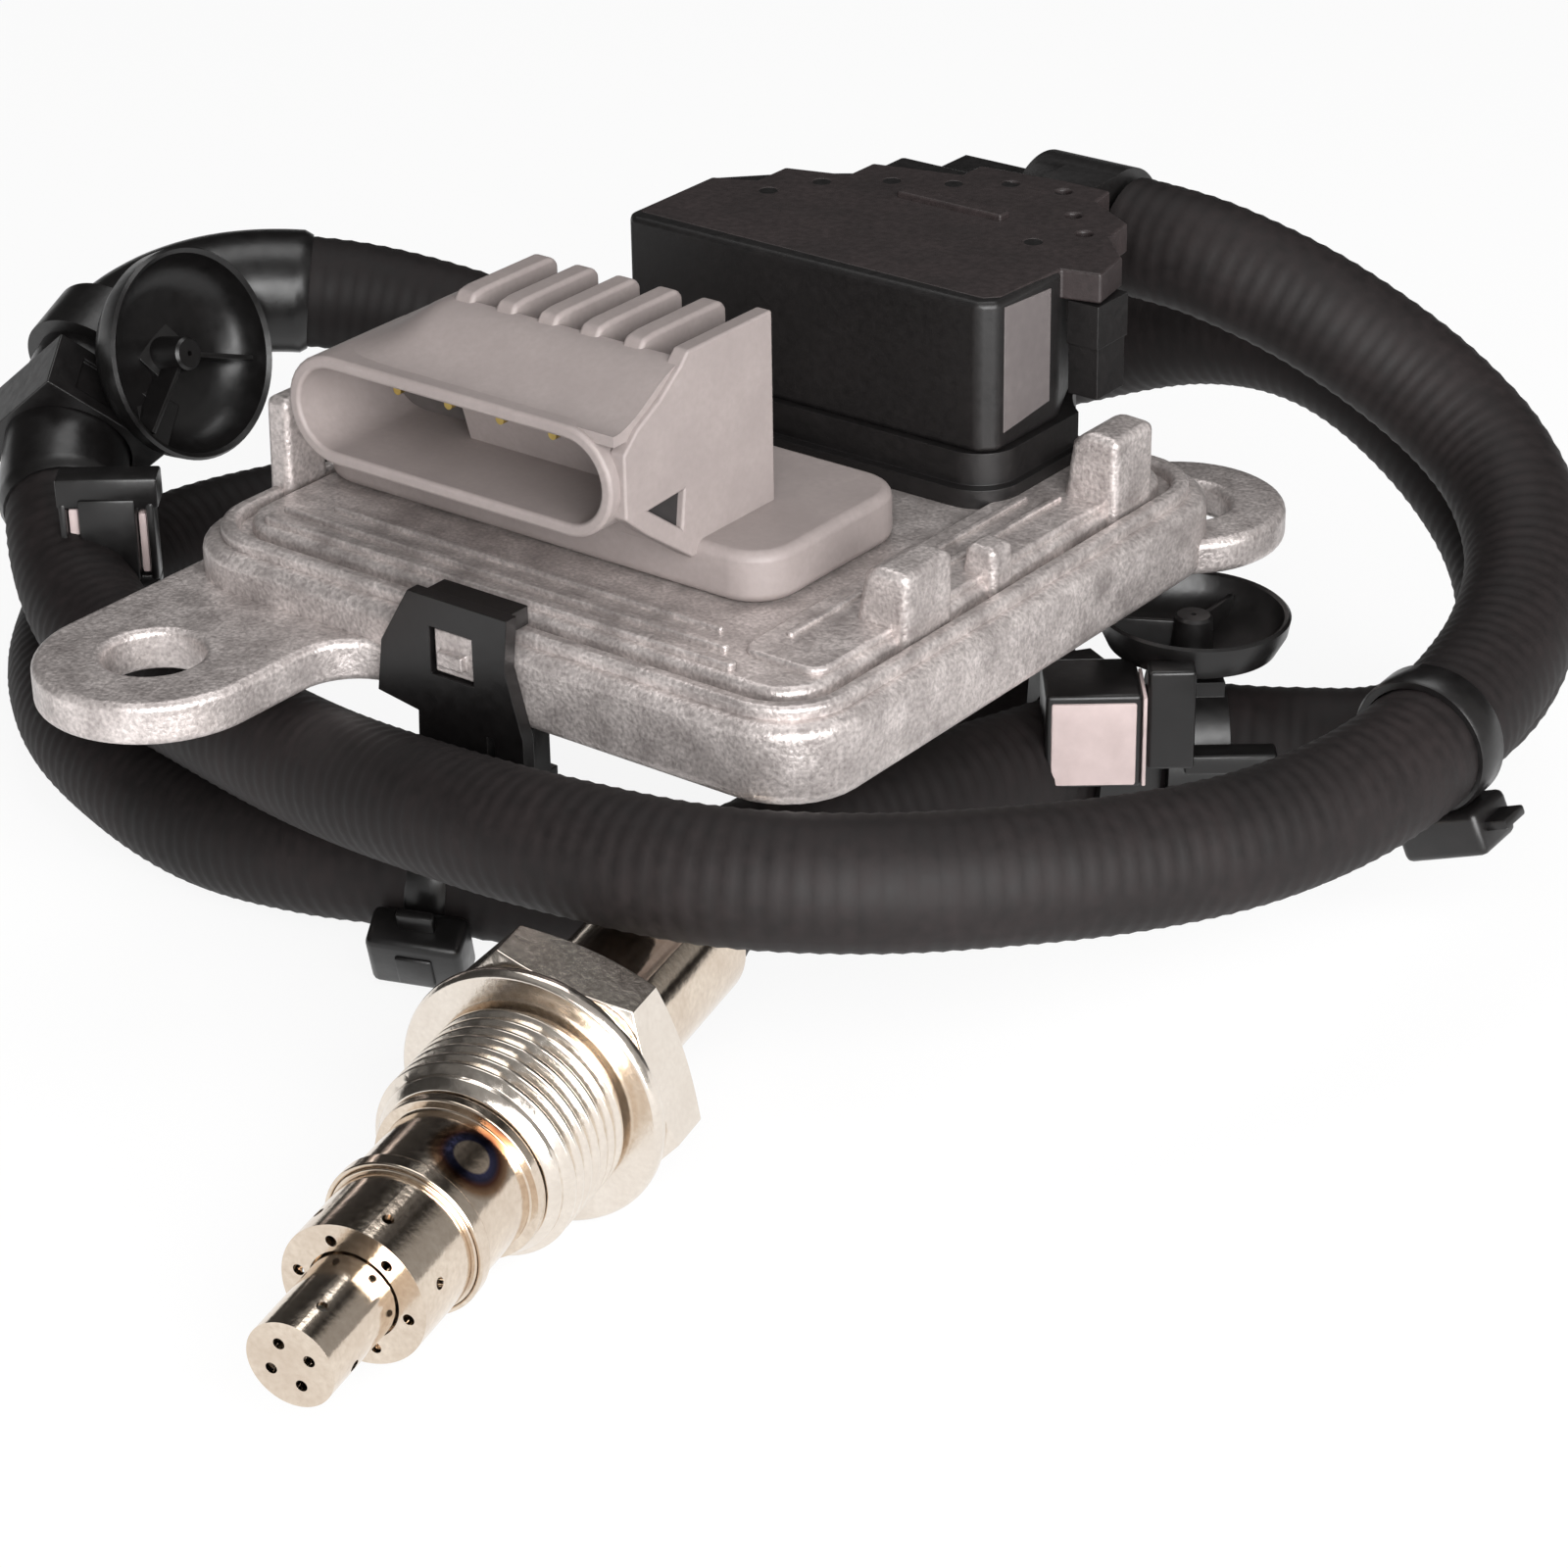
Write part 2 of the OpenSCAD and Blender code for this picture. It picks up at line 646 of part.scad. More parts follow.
module seal_washer() {
    color([0.75, 0.7, 0.62]) on_probe() difference() {
        rotate_extrude() polygon([
            [thread_r - 0.95, 0.3], [thread_r + 2.8, 0.3], [thread_r + 3.15, 0.7], [thread_r + 3.15, 1.5],
            [thread_r + 2.8, 2], [thread_r - 0.95, 2]
        ]);
        cylinder(r = thread_r - 0.95, h = 30, center = true);
    }
}

module sensor_body() {
    color([0.7, 0.65, 0.58]) on_probe() difference() {
        union() {
            translate([0, 0, body_back]) cylinder(r = body_r, h = body_end - body_back);
            translate([0, 0, fitting_length + 0.2]) cylinder(r = body_r + 1, h = 1.2);
        }
        translate([0, 0, body_end - bush_length - 4]) cylinder(r = bush_r + seat_gap / 4, h = 40);
        translate([0, 0, body_back - 1]) cylinder(r = body_r - 3.7, h = body_end - body_back - 16);
    }
}

module weld_ring() {
    color([0.68, 0.62, 0.55]) on_probe() difference() {
        translate([0, 0, body_end - 1.7]) cylinder(r = body_r + 0.5, h = 1.6);
        cylinder(r = body_r + 0.02, h = 60, center = true);
    }
}

module outer_protection_tube() {
    color([0.72, 0.66, 0.58]) on_probe() translate([0, 0, body_end]) difference() {
        cylinder(r = outer_tube_r, h = outer_tube_length);
        translate([0, 0, -1]) cylinder(r = tube_bore, h = outer_tube_length + 1 - tube_wall);
        translate([0, 0, -1]) cylinder(r = inner_tube_r + seat_gap, h = outer_tube_length + 4);
        for (k = [0 : 5]) rotate([0, 0, 60 * k + 18]) translate([(tube_bore + inner_tube_r) / 2, 0, outer_tube_length - 3])
            cylinder(r = gas_hole_r, h = 6, $fn = 24);
        for (k = [0 : 5]) rotate([0, 0, 60 * k + 40]) translate([0, 0, outer_tube_length - 2.8]) rotate([0, 90, 0])
            cylinder(r = gas_hole_r, h = 12, $fn = 24);
    }
}

module inner_protection_tube() {
    color([0.74, 0.68, 0.6]) on_probe() translate([0, 0, body_end]) difference() {
        union() {
            cylinder(r = inner_tube_r, h = inner_tube_length);
            cylinder(r = tube_bore - seat_gap, h = 1);
        }
        translate([0, 0, -1]) cylinder(r = inner_tube_r - tube_wall, h = inner_tube_length + 1 - tube_wall);
        for (k = [0 : 3]) rotate([0, 0, 90 * k + 25]) translate([inner_tube_r / 2, 0, inner_tube_length - 3])
            cylinder(r = gas_hole_r, h = 6, $fn = 24);
        for (k = [0 : 3]) rotate([0, 0, 90 * k + 70]) translate([0, 0, inner_tube_length - 3.5]) rotate([0, 90, 0])
            cylinder(r = gas_hole_r, h = 12, $fn = 24);
    }
}

module ceramic_element() {
    color([0.9, 0.88, 0.84]) on_probe() translate([-1.7, -0.65, body_end - 13]) cube([3.4, 1.3, inner_tube_length + 7.5]);
}

module ceramic_bush() {
    color([0.93, 0.92, 0.9]) on_probe() translate([0, 0, body_end - bush_length - 4]) difference() {
        cylinder(r = bush_r, h = bush_length);
        translate([-1.75, -0.7, -1]) cube([3.5, 1.4, bush_length + 2]);
    }
}

module rear_sleeve() {
    color([0.74, 0.68, 0.6]) on_probe() difference() {
        union() {
            translate([0, 0, sleeve_end]) cylinder(r = body_r, h = sleeve_length);
            translate([0, 0, body_back - 1.2]) cylinder(r = body_r + 0.8, h = 1);
        }
        translate([0, 0, sleeve_end - 1]) cylinder(r = body_r - 0.8, h = 8.2);
        translate([0, 0, sleeve_end]) cylinder(r = body_r - 3.7, h = sleeve_length + 1);
    }
}

module rear_grommet() {
    color([0.1, 0.09, 0.09]) on_probe() translate([0, 0, sleeve_end + 0.4])
        cylinder(r = body_r - 0.8 - seat_gap / 4, h = 6.6);
}

housing_casting();
base_plate();
circuit_board();
board_parts();
header_shroud();
header_pins();
connector_skirt();
connector_body();
connector_cover();
connector_side_block();
cable_outlet();
locking_bar();
retaining_clip();
clip_catch();
conduit();
tie_right();
tie_left();
left_collar();
left_stud();
left_holder();
right_collar();
right_stud();
right_holder();
screw_fitting();
seal_washer();
sensor_body();
weld_ring();
outer_protection_tube();
inner_protection_tube();
ceramic_element();
ceramic_bush();
rear_sleeve();
rear_grommet();
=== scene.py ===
import json
from math import cos, floor, pi, radians, sin, sqrt

import bmesh
import bpy
from mathutils import Matrix, Vector

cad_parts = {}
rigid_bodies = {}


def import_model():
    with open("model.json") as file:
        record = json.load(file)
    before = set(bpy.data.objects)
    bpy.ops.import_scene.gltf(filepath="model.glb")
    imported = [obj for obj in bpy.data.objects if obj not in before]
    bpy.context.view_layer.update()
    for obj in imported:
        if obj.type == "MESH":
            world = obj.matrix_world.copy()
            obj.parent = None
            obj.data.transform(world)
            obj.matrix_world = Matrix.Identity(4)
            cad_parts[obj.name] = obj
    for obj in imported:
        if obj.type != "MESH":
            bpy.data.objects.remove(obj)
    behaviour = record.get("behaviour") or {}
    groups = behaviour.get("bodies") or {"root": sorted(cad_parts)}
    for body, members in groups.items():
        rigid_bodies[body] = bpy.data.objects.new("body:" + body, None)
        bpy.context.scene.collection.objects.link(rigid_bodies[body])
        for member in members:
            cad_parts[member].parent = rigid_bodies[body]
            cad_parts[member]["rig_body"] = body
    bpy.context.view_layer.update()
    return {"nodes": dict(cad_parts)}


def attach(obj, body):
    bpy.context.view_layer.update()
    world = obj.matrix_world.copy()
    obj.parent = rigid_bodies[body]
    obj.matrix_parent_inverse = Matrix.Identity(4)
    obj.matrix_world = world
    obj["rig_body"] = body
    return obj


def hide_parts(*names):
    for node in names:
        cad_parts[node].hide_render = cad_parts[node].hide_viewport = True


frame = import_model()
nodes = frame["nodes"]


# Camera
# Stands to the right in front of the probe and looks down over the housing,
# as the photograph does. The lens is long, so that little converges.
view_from = Vector((0.24497, -0.287, 0.2122))
view_side = radians(37.5)
view_height = radians(27.4)
view_roll = radians(-0.9)
view_forward = Vector((-sin(view_side) * cos(view_height), cos(view_side) * cos(view_height), -sin(view_height)))
level_right = Vector((cos(view_side), sin(view_side), 0))
level_up = level_right.cross(view_forward)
view_right = level_right * cos(view_roll) + level_up * sin(view_roll)
view_up = view_right.cross(view_forward)
camera_data = bpy.data.cameras.new("camera")
camera_data.sensor_width = 36
camera_data.lens = 96.75
camera_data.clip_start = 0.01
camera = bpy.data.objects.new("camera", camera_data)
view_turn = Matrix((view_right, view_up, -view_forward)).transposed().to_4x4()
camera.matrix_world = Matrix.Translation(view_from) @ view_turn
bpy.context.scene.collection.objects.link(camera)
bpy.context.scene.camera = camera
bpy.context.scene.view_settings.view_transform = "Standard"


# Conduit
# A corrugated nylon conduit, 13 mm outside, that carries the wires from the
# connector's outlet to the probe. It is moulded in fine rings.
housing_middle = -1.03
conduit_r = 0.0065
conduit_pitch = 0.00178
conduit_rings = (0.00017, 0.00012, 0.00006, 0.00012)
conduit_sides = 24
conduit_route = [
    (13.3, 79.2, 54.5), (24, 79.7, 53.6), (36, 82, 49.5), (48, 84, 43), (58, 82, 37), (66, 74, 32),
    (71, 61, 28.5), (73, 46, 26.5), (73, 31, 25.8), (70, 17, 25.8), (65, 5, 26.6), (58, -7, 28),
    (48.5, -18, 29), (36, -25, 29), (20, -27, 28), (3, -24.8, 25.5), (-16, -20.5, 22.5), (-36, -15.5, 21),
    (-54, -10, 20), (-68, -3, 21.5), (-79, 6, 26), (-86.5, 16.5, 32), (-88.5, 28, 37), (-84, 39, 39),
    (-74, 48.5, 38), (-60, 57, 34), (-44, 65, 27.5), (-27, 72, 20), (-9, 73.5, 12.5), (7, 67, 7.5),
    (17, 54, 6.6), (18.5, 38, 6.6), (16, 22, 6.6), (11, 8, 6.8), (3, -4.5, 8), (-9, -13.5, 10.6), (-23, -16, 9),
    (-38, -15, 6.9), (-53, -11.5, 6.6), (-68, -5, 6.6), (-81, 6, 6.6), (-90, 20, 6.6), (-92, 36, 6.6),
    (-85, 54, 6.6), (-70, 70, 8.5), (-50, 83, 14), (-28, 92, 22), (-6, 97, 31), (12, 98, 37.5), (27, 98, 38),
    (40.5, 97, 32.5), (53.2, 91.5, 25.5), (61.3, 82, 19.6), (62.9, 70.5, 15.6), (58.4, 61, 13.4),
    (49.2, 55.4, 12.6), (40, 50.2, 12.6), (33.6, 42, 13.2), (31, 30.5, 14.4), (28.8, 18.5, 15.7),
    (25.5, 6.8, 16.4), (22.8, -4.6, 15.8), (24.56, -15.14, 14.74),
]
route_end = len(conduit_route) - 1
route_steps = 6000


def in_frame(x, y, z):
    """A point in the housing's own mm, in the frame."""
    return Vector(((x + housing_middle) / 1000, y / 1000, z / 1000))


def route_at(u):
    """A point of the smooth curve through the route, u counting its points."""
    i = min(route_end - 1, floor(u))
    t = u - i
    a, b, c, d = (in_frame(*conduit_route[max(0, min(route_end, i + k))]) for k in (-1, 0, 1, 2))
    return 0.5 * (2 * b + (c - a) * t + (2 * a - 5 * b + 4 * c - d) * t * t + (3 * b - a - 3 * c + d) * t ** 3)


def swept(centres, headings, radii, sides):
    """A closed tube with one ring of corners around each centre."""
    bm = bmesh.new()
    turns = [2 * pi * j / sides for j in range(sides)]
    last_ring = None
    for centre, ahead, r in zip(centres, headings, radii):
        side = Vector((0, 0, 1)).cross(ahead).normalized()
        lift = ahead.cross(side)
        ring = [bm.verts.new(centre + (side * cos(t) + lift * sin(t)) * r) for t in turns]
        if last_ring:
            for j in range(sides):
                k = (j + 1) % sides
                bm.faces.new((last_ring[j], last_ring[k], ring[k], ring[j]))
        else:
            bm.faces.new(ring[::-1])
        last_ring = ring
    bm.faces.new(last_ring)
    return bm


def object_of(bm, name, material=None):
    """A smooth object of a bmesh, sharp where it turns by more than 35 degrees."""
    mesh = bpy.data.meshes.new(name)
    bm.to_mesh(mesh)
    bm.free()
    piece = bpy.data.objects.new(name, mesh)
    bpy.context.scene.collection.objects.link(piece)
    if material:
        mesh.materials.append(material)
    for polygon in mesh.polygons:
        polygon.use_smooth = True
    mesh.set_sharp_from_angle(angle=radians(35))
    return piece


def srgb(r, g, b):
    """A colour of 0 to 255 as the shader takes it."""
    return tuple(((v / 255 + 0.055) / 1.055) ** 2.4 if v > 10 else v / 3294 for v in (r, g, b)) + (1,)


def grain_group():
    """Colour, roughness and normal that vary with a fine grain and a broad cloud."""
    g = bpy.data.node_groups.new("grain", "ShaderNodeTree")
    for name, kind, way in (
        ("Colour", "Color", "INPUT"), ("Pale", "Color", "INPUT"), ("Scale", "Float", "INPUT"),
        ("Rough", "Float", "INPUT"), ("Spread", "Float", "INPUT"), ("Depth", "Float", "INPUT"),
        ("Cloud", "Float", "INPUT"), ("Colour", "Color", "OUTPUT"), ("Rough", "Float", "OUTPUT"),
        ("Normal", "Vector", "OUTPUT"),
    ):
        g.interface.new_socket(name=name, in_out=way, socket_type="NodeSocket" + kind)
    node, link = g.nodes.new, g.links.new
    enter, leave = node("NodeGroupInput"), node("NodeGroupOutput")
    place = node("ShaderNodeTexCoord")
    fine, broad = node("ShaderNodeTexNoise"), node("ShaderNodeTexNoise")
    fine.inputs["Detail"].default_value = 5
    broad.inputs["Detail"].default_value = 3
    broad_scale, cloud, paleness, rough = (node("ShaderNodeMath") for _ in range(4))
    for product in (broad_scale, cloud, paleness):
        product.operation = "MULTIPLY"
    rough.operation = "MULTIPLY_ADD"
    broad_scale.inputs[1].default_value = 0.12
    mix = node("ShaderNodeMix")
    mix.data_type = "RGBA"
    bump = node("ShaderNodeBump")
    bump.inputs["Distance"].default_value = 0.0003
    link(place.outputs["Object"], fine.inputs["Vector"])
    link(place.outputs["Object"], broad.inputs["Vector"])
    link(enter.outputs["Scale"], fine.inputs["Scale"])
    link(enter.outputs["Scale"], broad_scale.inputs[0])
    link(broad_scale.outputs[0], broad.inputs["Scale"])
    link(broad.outputs["Fac"], cloud.inputs[0])
    link(enter.outputs["Cloud"], cloud.inputs[1])
    link(fine.outputs["Fac"], paleness.inputs[0])
    link(cloud.outputs[0], paleness.inputs[1])
    link(paleness.outputs[0], mix.inputs[0])
    link(enter.outputs["Colour"], mix.inputs[6])
    link(enter.outputs["Pale"], mix.inputs[7])
    link(fine.outputs["Fac"], rough.inputs[0])
    link(enter.outputs["Spread"], rough.inputs[1])
    link(enter.outputs["Rough"], rough.inputs[2])
    link(fine.outputs["Fac"], bump.inputs["Height"])
    link(enter.outputs["Depth"], bump.inputs["Strength"])
    link(mix.outputs[2], leave.inputs["Colour"])
    link(rough.outputs[0], leave.inputs["Rough"])
    link(bump.outputs["Normal"], leave.inputs["Normal"])
    return g


grain = grain_group()


def finish(name, colour, pale, scale=900, rough=0.45, spread=0.15, depth=0.15, cloud=1.6, metallic=0.0, specular=0.5):
    """A material of one shader and the grain group."""
    m = bpy.data.materials.new(name)
    m.use_nodes = True
    tree = m.node_tree
    shader = tree.nodes["Principled BSDF"]
    shader.inputs["Metallic"].default_value = metallic
    shader.inputs["Specular IOR Level"].default_value = specular
    g = tree.nodes.new("ShaderNodeGroup")
    g.node_tree = grain
    for key, value in (("Colour", colour), ("Pale", pale), ("Scale", scale), ("Rough", rough),
                       ("Spread", spread), ("Depth", depth), ("Cloud", cloud)):
        g.inputs[key].default_value = value
    tree.links.new(g.outputs["Colour"], shader.inputs["Base Color"])
    tree.links.new(g.outputs["Rough"], shader.inputs["Roughness"])
    tree.links.new(g.outputs["Normal"], shader.inputs["Normal"])
    return m


conduit_finish = finish("ribbed_nylon", srgb(14, 12, 12), srgb(35, 29, 29), scale=620, rough=0.52, spread=0.22,
                        depth=0.12, cloud=1.9, specular=0.25)
dense = [route_at(i * route_end / route_steps) for i in range(route_steps + 1)]
run = [0.0]
for a, b in zip(dense, dense[1:]):
    run.append(run[-1] + (b - a).length)
conduit_length = run[-1]
ring_count = int(conduit_length / (conduit_pitch / len(conduit_rings)))
conduit_path = []
k = 0
for i in range(ring_count + 1):
    want = conduit_length * i / ring_count
    while k < route_steps - 1 and run[k + 1] < want:
        k += 1
    conduit_path.append(dense[k].lerp(dense[k + 1], (want - run[k]) / max(1e-9, run[k + 1] - run[k])))
conduit_headings = [(conduit_path[min(ring_count, i + 1)] - conduit_path[max(0, i - 1)]).normalized()
                    for i in range(ring_count + 1)]
conduit_radii = [conduit_r - conduit_rings[i % len(conduit_rings)] for i in range(ring_count + 1)]
conduit_tube = swept(conduit_path, conduit_headings, conduit_radii, conduit_sides)
conduit = object_of(conduit_tube, "ribbed_conduit", conduit_finish)
conduit.data.set_sharp_from_angle(angle=radians(80))
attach(conduit, "sensor")
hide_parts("conduit")


# Collars and holders
# The split collars of the two push-in clips and the square blocks on them, of
# glossy black nylon, moulded, and snapped tight around the conduit.
clip_black = finish("glossy_black_nylon", srgb(10, 9, 9), srgb(22, 20, 20), scale=800, rough=0.24, spread=0.2,
                    depth=0.08)


def round_edges(piece, width, segments, angle):
    """Rounds the edges that turn by more than the angle, over a width in mm."""
    bevel = piece.modifiers.new("edges", "BEVEL")
    bevel.loop_slide = False
    bevel.width = width / 1000
    bevel.segments = segments
    bevel.limit_method = "ANGLE"
    bevel.angle_limit = radians(angle)
    bevel.harden_normals = True


def softened(name, width, material):
    """A merged copy of a CAD node, with its edges rounded."""
    bm = bmesh.new()
    bm.from_mesh(nodes[name].data)
    bmesh.ops.remove_doubles(bm, verts=bm.verts, dist=2e-6)
    bmesh.ops.dissolve_limit(bm, angle_limit=radians(1), verts=bm.verts, edges=bm.edges)
    piece = object_of(bm, name + "_soft", material)
    round_edges(piece, width, 2, 28)
    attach(piece, nodes[name]["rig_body"])
    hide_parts(name)
    return piece


on_conduit = [softened(name, width, clip_black) for name, width in (
    ("left_collar", 0.4), ("left_holder", 0.5), ("right_collar", 0.4), ("right_holder", 0.5))]


# Ties
# Two cable ties of the same nylon, each pulled tight around one strand of the
# conduit: a flat band, a head with its latch, and the cut end of the strap.
# Pale strips and faces on the glossy black clips: painted highlight where their edges and faces catch the lamp.
highlight_paint = finish("pale_painted_highlight", srgb(170, 153, 151), srgb(215, 198, 196), scale=500, rough=0.4, spread=0.2,
                   depth=0.05, cloud=1.2)
conduit_lengths = 79


def seat_on_conduit(length, shift, way):
    """Frame on a straight length of the conduit: X along way, Z along the conduit."""
    a, b = (route_at(route_end * k / conduit_lengths) for k in (length, length + 1))
    z = (b - a).normalized()
    y = z.cross(Vector(way)).normalized()
    x = y.cross(z)
    return Matrix.Translation((a + b) / 2 + z * shift / 1000) @ Matrix((x, y, z)).transposed().to_4x4()


def turned(name, profile, frame_of, material, steps=64):
    """A closed outline of radius and height in mm, spun about the frame's Z."""
    bm = bmesh.new()
    verts = [bm.verts.new((r / 1000, 0, h / 1000)) for r, h in profile]
    edges = [bm.edges.new((verts[i], verts[(i + 1) % len(verts)])) for i in range(len(verts))]
    bmesh.ops.spin(bm, geom=verts + edges, cent=(0, 0, 0), axis=(0, 0, 1), angle=2 * pi, steps=steps, use_merge=True)
    bmesh.ops.remove_doubles(bm, verts=bm.verts, dist=1e-6)
    bmesh.ops.transform(bm, matrix=frame_of, verts=bm.verts)
    bmesh.ops.recalc_face_normals(bm, faces=bm.faces)
    return object_of(bm, name, material)


def block(name, low, high, frame_of, edge, material, segments=2):
    """A box in mm in a frame, with rounded edges."""
    bm = bmesh.new()
    size = [(h - l) / 1000 for l, h in zip(low, high)]
    middle = [(h + l) / 2000 for l, h in zip(low, high)]
    bmesh.ops.create_cube(bm, size=1, matrix=Matrix.Translation(middle) @ Matrix.Diagonal((*size, 1)))
    bmesh.ops.bevel(bm, geom=bm.edges[:], offset=edge / 1000, segments=segments, profile=0.5, affect="EDGES",
                    material=-1)
    bmesh.ops.transform(bm, matrix=frame_of, verts=bm.verts)
    bmesh.ops.recalc_face_normals(bm, faces=bm.faces)
    return object_of(bm, name, material)


def joined(name, pieces, node=None):
    """One piece of several, which keeps the clips' black nylon and their painted highlight as two materials."""
    bm = bmesh.new()
    for piece in pieces:
        first = len(bm.faces)
        bm.from_mesh(piece.data)
        bm.faces.ensure_lookup_table()
        for face in bm.faces[first:]:
            face.material_index = int(piece.data.materials[0] == highlight_paint)
        bpy.data.objects.remove(piece)
    whole = object_of(bm, name, clip_black)
    whole.data.materials.append(highlight_paint)
    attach(whole, "sensor")
    if node:
        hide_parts(node)
    on_conduit.append(whole)


tie_band = [(6.35, -2.1), (7.0, -2.1), (7.25, -1.7), (7.25, 1.7), (7.0, 2.1), (6.35, 2.1)]
for side, length, shift, way, tall, wide in (
    ("right", 9, -2.5, (0.37, -0.15, -0.9), 5.2, 3.2),
    ("left", 44, 0, (0.3, -0.7, -0.42), 4.2, 4.9),
):
    tie_frame = seat_on_conduit(length, shift, way)
    joined(side + "_tie", [
        turned("band", tie_band, tie_frame, clip_black),
        block("head", (6.9, -tall, -wide), (11.6, tall - 0.8, wide), tie_frame, 0.8, clip_black, 3),
        block("latch", (11.4, 1.2 - tall, -1.9), (12, tall - 2.6, 1.9), tie_frame, 0.3, clip_black),
        block("end", (8.4, tall - 1, -1.9), (9.5, tall + 1.6, 1.9), tie_frame, 0.3, clip_black),
    ], "tie_" + side)


# Cups
# The umbrella of each push-in clip, a thin bowl that presses on the sheet metal
# around its hole, with a hollow post and two fins inside it. Moulded nylon.
deep_cup = [(0.3, 0), (5, 0), (5.4, 1), (8.2, 1.6), (10.4, 3), (11.6, 5), (12, 7.4), (11.7, 7.8), (11.2, 7.4),
            (10.7, 5.2), (9.4, 3.6), (7.2, 2.6), (2.2, 2.4), (1.9, 6.6), (1.6, 6.9), (0.3, 6.9)]
flat_cup = [(0.3, 0), (3.4, 0), (3.4, 0.8), (6.5, 1.2), (8.8, 2.4), (9.8, 4.4), (10, 5.9), (9.7, 6.15), (9.3, 5.9),
            (8.9, 4.5), (7.8, 3.1), (5.6, 2.2), (2.2, 2), (2, 5.2), (1.7, 5.5), (0.3, 5.5)]
cup_rim, cup_inner_rim = 6, 8
for side, length, shift, way, out, cup_profile, turn in (
    ("left", 27, 0, (0.95, 0.05, 0.3), 6.6, deep_cup, 0.3),
    ("right", 71, -1.2, (0, 0, 1), 9.5, flat_cup, 0.9),
):
    outward = Matrix.Translation((out / 1000, 0, 0)) @ Matrix.Rotation(pi / 2, 4, "Y")
    cup_frame = seat_on_conduit(length, shift, way) @ outward
    fin_reach = cup_profile[cup_inner_rim][0] - 0.9
    fin_top = cup_profile[cup_rim][1] - 1.2
    joined(side + "_cup", [turned("bowl", cup_profile, cup_frame, clip_black, 72)] + [
        block("fin", (1.8, -0.3, 1.8), (fin_reach, 0.3, fin_top),
              cup_frame @ Matrix.Rotation(k * pi * 0.66 + turn, 4, "Z"), 0.12, clip_black)
        for k in (0, 1)
    ], side + "_stud")


# Block and foot of the clips
# The right clip's square block and the leg beside it, and the left clip's slotted
# foot over its strand. Moulded in one with the collars. The pale face and strip on
# the block and the two pale strips on the foot are painted highlight.
def facing(x, y, z):
    """A level frame that looks towards the camera, at a point in mm."""
    level = Matrix((level_right, Vector((0, 0, 1)).cross(level_right), (0, 0, 1))).transposed().to_4x4()
    return Matrix.Translation(in_frame(x, y, z)) @ level


right_block = facing(40.1, 32.7, 19.9)
joined("right_square", [block("part", low, high, right_block, edge, material, segments)
                        for low, high, edge, material, segments in (
    ((-4.9, 0, -5.2), (4.9, 9, 5.2), 0.5, clip_black, 3),
    # A pale face and a thin pale strip of painted highlight on the block.
    ((-4.3, -0.3, -4.8), (4.3, 0.2, 4.4), 0.25, highlight_paint, 2),
    ((4.95, -0.1, -5), (5.35, 7, 4.9), 0.12, highlight_paint, 2),
    ((5.6, 1.5, -4), (10.4, 4.5, 7), 0.4, clip_black, 3),
    ((9.5, 2, -5), (19, 5, -2.8), 0.4, clip_black, 3),
)])
left_foot = facing(-64.8, -0.4, 27.7)
joined("left_foot", [block("part", low, high, left_foot, 0.3, material) for low, high, material in (
    ((-5.6, -0.6, 3.4), (5.4, 3.4, 6.8), clip_black),
    ((-3.3, -0.9, -5), (2.9, 1.6, 4.5), clip_black),
    ((-5.4, -0.7, -5), (-4.6, 2, 4), clip_black),
    ((4, -0.7, -5), (4.9, 2, 4), clip_black),
    ((-5.4, -0.3, -6), (4.9, 2, -4.6), clip_black),
    # Two slim pale strips of painted highlight on the foot.
    ((-4.5, 0, -3.6), (-3.4, 1.5, 3.2), highlight_paint),
    ((3, 0, -4.4), (3.9, 1.5, 2.6), highlight_paint),
)])


# Sleeve of the left clip
# A smooth nylon sleeve that the conduit runs through at the left clip, so that
# the clip can't bite into the rings. It is slipped on before the clip.
sleeve_from, sleeve_to, sleeve_steps, sleeve_sides = 19.9, 23.7, 60, 32
sleeve_r, sleeve_end_r = 0.0071, 0.0066


def heading_at(u):
    """The way that the route runs at u."""
    return (route_at(min(route_end, u + 0.02)) - route_at(max(0, u - 0.02))).normalized()


sleeve_turns = [sleeve_from + (sleeve_to - sleeve_from) * i / sleeve_steps for i in range(sleeve_steps + 1)]
sleeve_radii = [sleeve_end_r] + [sleeve_r] * (sleeve_steps - 1) + [sleeve_end_r]
sleeve = swept(map(route_at, sleeve_turns), map(heading_at, sleeve_turns), sleeve_radii, sleeve_sides)
joined("left_sleeve", [object_of(sleeve, "sleeve", clip_black)])


# Light and floor
# A pale table in a studio: a lamp above, a broad one low at the right by the
# camera, and soft white screens round about with dark gaps between them.
screen_levels = (
    (0.0, 0.1), (0.12, 0.14), (0.2, 0.35), (0.3, 0.7), (0.42, 1.0), (0.5, 1.0), (0.6, 0.85), (0.665, 0.9),
    (0.69, 0.1), (0.71, 0.04), (0.722, 0.22), (0.735, 0.04), (0.752, 0.34), (0.765, 0.04), (0.79, 0.02),
    (0.81, 0.25), (0.825, 0.02), (0.86, 0.015), (0.93, 0.14), (1.0, 0.1),
)
studio_strength = 0.42
overhead_from, overhead_full = 0.72, 0.95
floor_white_share = 0.9
floor_size = 40


def fill_ramp(node, stops):
    """Sets a colour ramp's stops, each a place and a colour."""
    elements = node.color_ramp.elements
    while len(elements) < len(stops):
        elements.new(0.5)
    for element, (at, tint) in zip(elements, stops):
        element.position = at
        element.color = (*tint, 1)


